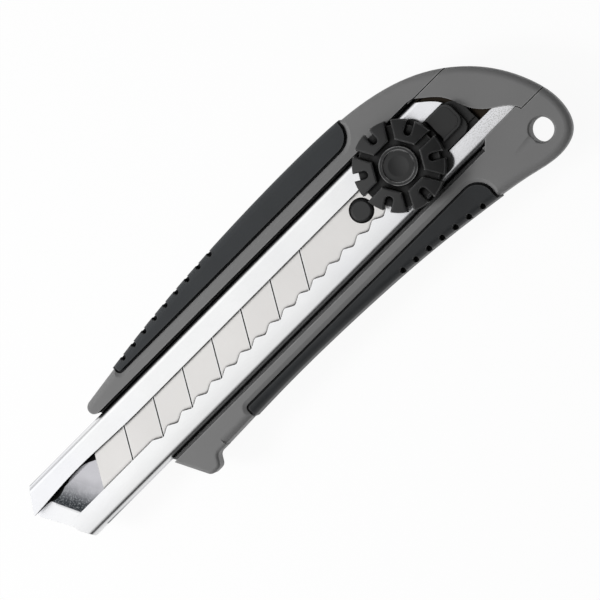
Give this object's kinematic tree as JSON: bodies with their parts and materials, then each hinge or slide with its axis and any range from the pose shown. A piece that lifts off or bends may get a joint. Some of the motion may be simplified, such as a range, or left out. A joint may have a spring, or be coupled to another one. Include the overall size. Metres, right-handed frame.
{
  "type": "utility knife",
  "caption": "Snap-off utility knife with a steel blade channel, a sliding blade carrier locked by a lobed wheel, rubber grips, a finger guard and a removable end cap.",
  "frame": {"origin": "on the flat back, under the middle line of the blade channel, 80.9 mm behind the point of the nose", "axes": "+X from the nose to the tail, +Y to the upper rail, +Z out of the face"},
  "size_m": [0.16, 0.0434, 0.0208],
  "materials": {
    "grey_plastic": "semi-matte moulded plastic",
    "grip_rubber": "matte black rubber",
    "channel_steel": "satin stainless sheet",
    "blade_steel": "ground blade steel",
    "black_plastic": "satin black plastic",
    "wheel_plastic": "dark grey moulded plastic",
    "peg_black": "black peg",
    "spring_steel": "spring steel strip",
    "fastener_steel": "zinc-plated steel"
  },
  "bodies": {
    "handle": {"handle_body": "grey_plastic", "upper_grip": "grip_rubber", "lower_grip": "grip_rubber", "blade_channel": "channel_steel", "channel_screws": "fastener_steel"},
    "slider": {"slider_carrier": "black_plastic", "slider_housing": "black_plastic", "slider_screws": "fastener_steel", "blade": "blade_steel", "blade_peg": "peg_black", "ratchet_spring": "spring_steel", "lock_washer": "fastener_steel"},
    "lock": {"lock_wheel": "wheel_plastic", "wheel_cap": "wheel_plastic", "lock_bolt": "fastener_steel", "bolt_clip": "spring_steel"},
    "clamp": {"clamp_plate": "fastener_steel"},
    "tail_cap": {"end_cap": "grey_plastic"}
  },
  "joints": [
    {"name": "blade_slide", "type": "slide", "parent": "handle", "child": "slider", "axis": [-1, 0, 0], "range_m": [0, 0.075], "deforming": ["ratchet_spring"]},
    {"name": "wheel_turn", "type": "hinge", "parent": "slider", "child": "lock", "pos_m": [0.0421, 0.00065, 0.01516], "axis": [0, 0, 1], "range_deg": [0, 272]},
    {"name": "clamp_drop", "type": "slide", "parent": "slider", "child": "clamp", "axis": [0, 0, -1], "range_m": [0, 0.000525]},
    {"name": "cap_pull", "type": "slide", "parent": "handle", "child": "tail_cap", "axis": [1, 0, 0], "range_m": [0, 0.03]}
  ],
  "couplings": [
    {"joint": "wheel_turn", "follows": "clamp_drop", "rad_per_m": 8976}
  ]
}
